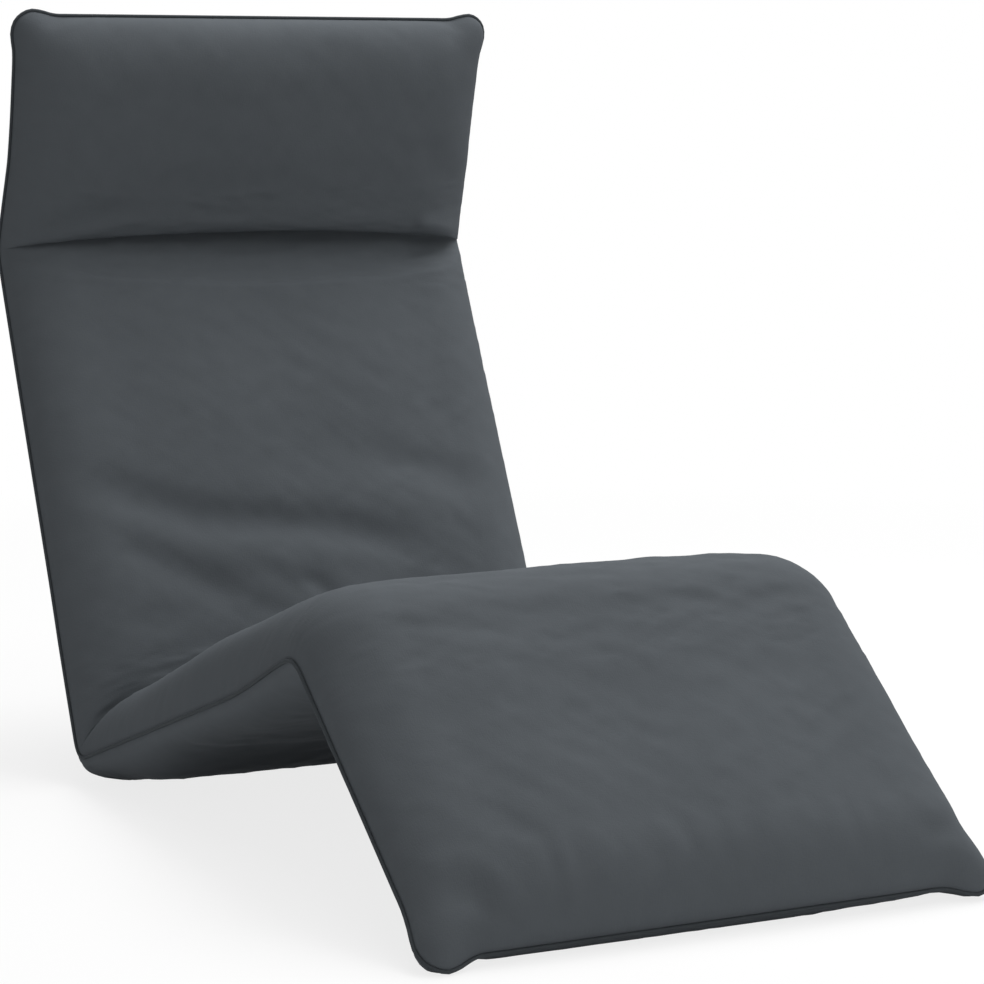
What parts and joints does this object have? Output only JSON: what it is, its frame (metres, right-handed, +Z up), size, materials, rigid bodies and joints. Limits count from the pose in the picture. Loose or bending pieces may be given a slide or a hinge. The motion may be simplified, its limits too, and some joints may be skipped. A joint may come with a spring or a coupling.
{
  "type": "folding sun lounger",
  "caption": "Padded floor lounger in dark grey fabric with corded edges: head, back, seat and leg pads on a steel tube frame that folds on ratchet hinges at neck, hip and knee.",
  "frame": {"origin": "on the floor under the middle of the lounger's length and width, as it stands in the picture", "axes": "+X towards the sitter's left, +Y towards the backrest, so the sitter faces -Y, +Z up"},
  "size_m": [0.56, 1.1368, 0.7957],
  "materials": {
    "cover_fabric": "matt woven polyester",
    "piping": "matt woven cord edge",
    "foam": "open cell foam",
    "webbing": "woven belt",
    "frame_steel": "black powder coat",
    "hinge_steel": "zinc plated",
    "rivet_steel": "bright zinc"
  },
  "bodies": {
    "seat": {"seat_frame": "frame_steel", "seat_webbing": "webbing", "seat_upper_foam": "foam", "seat_lower_foam": "foam", "seat_upper_cover": "cover_fabric", "seat_lower_cover": "cover_fabric", "seat_piping": "piping", "hip_fork_left": "hinge_steel", "hip_fork_right": "hinge_steel", "hip_rivets": "rivet_steel", "hip_pawl_springs": "rivet_steel", "hip_fold_padding": "foam", "hip_fold_cover": "cover_fabric", "knee_fork_left": "hinge_steel", "knee_fork_right": "hinge_steel", "knee_rivets": "rivet_steel", "knee_pawl_springs": "rivet_steel", "knee_fold_padding": "foam", "knee_fold_cover": "cover_fabric"},
    "back": {"back_frame": "frame_steel", "back_webbing": "webbing", "back_upper_foam": "foam", "back_lower_foam": "foam", "back_upper_cover": "cover_fabric", "back_lower_cover": "cover_fabric", "back_piping": "piping", "hip_ratchet_left": "hinge_steel", "hip_ratchet_right": "hinge_steel", "neck_fork_left": "hinge_steel", "neck_fork_right": "hinge_steel", "neck_rivets": "rivet_steel", "neck_pawl_springs": "rivet_steel", "neck_fold_padding": "foam", "neck_fold_cover": "cover_fabric"},
    "head": {"head_frame": "frame_steel", "head_webbing": "webbing", "head_upper_foam": "foam", "head_lower_foam": "foam", "head_upper_cover": "cover_fabric", "head_lower_cover": "cover_fabric", "head_piping": "piping", "neck_ratchet_left": "hinge_steel", "neck_ratchet_right": "hinge_steel"},
    "leg": {"leg_frame": "frame_steel", "leg_webbing": "webbing", "leg_upper_foam": "foam", "leg_lower_foam": "foam", "leg_upper_cover": "cover_fabric", "leg_lower_cover": "cover_fabric", "leg_piping": "piping", "knee_ratchet_left": "hinge_steel", "knee_ratchet_right": "hinge_steel"},
    "hip_pawls": {"hip_pawl_left": "hinge_steel", "hip_pawl_right": "hinge_steel"},
    "knee_pawls": {"knee_pawl_left": "hinge_steel", "knee_pawl_right": "hinge_steel"},
    "neck_pawls": {"neck_pawl_left": "hinge_steel", "neck_pawl_right": "hinge_steel"}
  },
  "joints": [
    {"name": "hip_fold", "type": "hinge", "parent": "seat", "child": "back", "pos_m": [0, 0.24395, 0.03725], "axis": [-1, 0, 0], "range_deg": [-56.25, 78.75]},
    {"name": "knee_fold", "type": "hinge", "parent": "seat", "child": "leg", "pos_m": [0, -0.29447, 0.21817], "axis": [-1, 0, 0], "range_deg": [-67.5, 56.25]},
    {"name": "neck_fold", "type": "hinge", "parent": "back", "child": "head", "pos_m": [0, 0.53041, 0.53697], "axis": [-1, 0, 0], "range_deg": [-56.25, 45]},
    {"name": "hip_pawl_drop", "type": "hinge", "parent": "seat", "child": "hip_pawls", "pos_m": [0, 0.21295, 0.04457], "axis": [1, 0, 0], "range_deg": [0, 10], "deforming": ["hip_pawl_springs"]},
    {"name": "knee_pawl_drop", "type": "hinge", "parent": "seat", "child": "knee_pawls", "pos_m": [0, -0.26347, 0.21085], "axis": [1, 0, 0], "range_deg": [0, 10], "deforming": ["knee_pawl_springs"]},
    {"name": "neck_pawl_drop", "type": "hinge", "parent": "back", "child": "neck_pawls", "pos_m": [0, 0.51718, 0.50799], "axis": [1, 0, 0], "range_deg": [0, 10], "deforming": ["neck_pawl_springs"]}
  ]
}
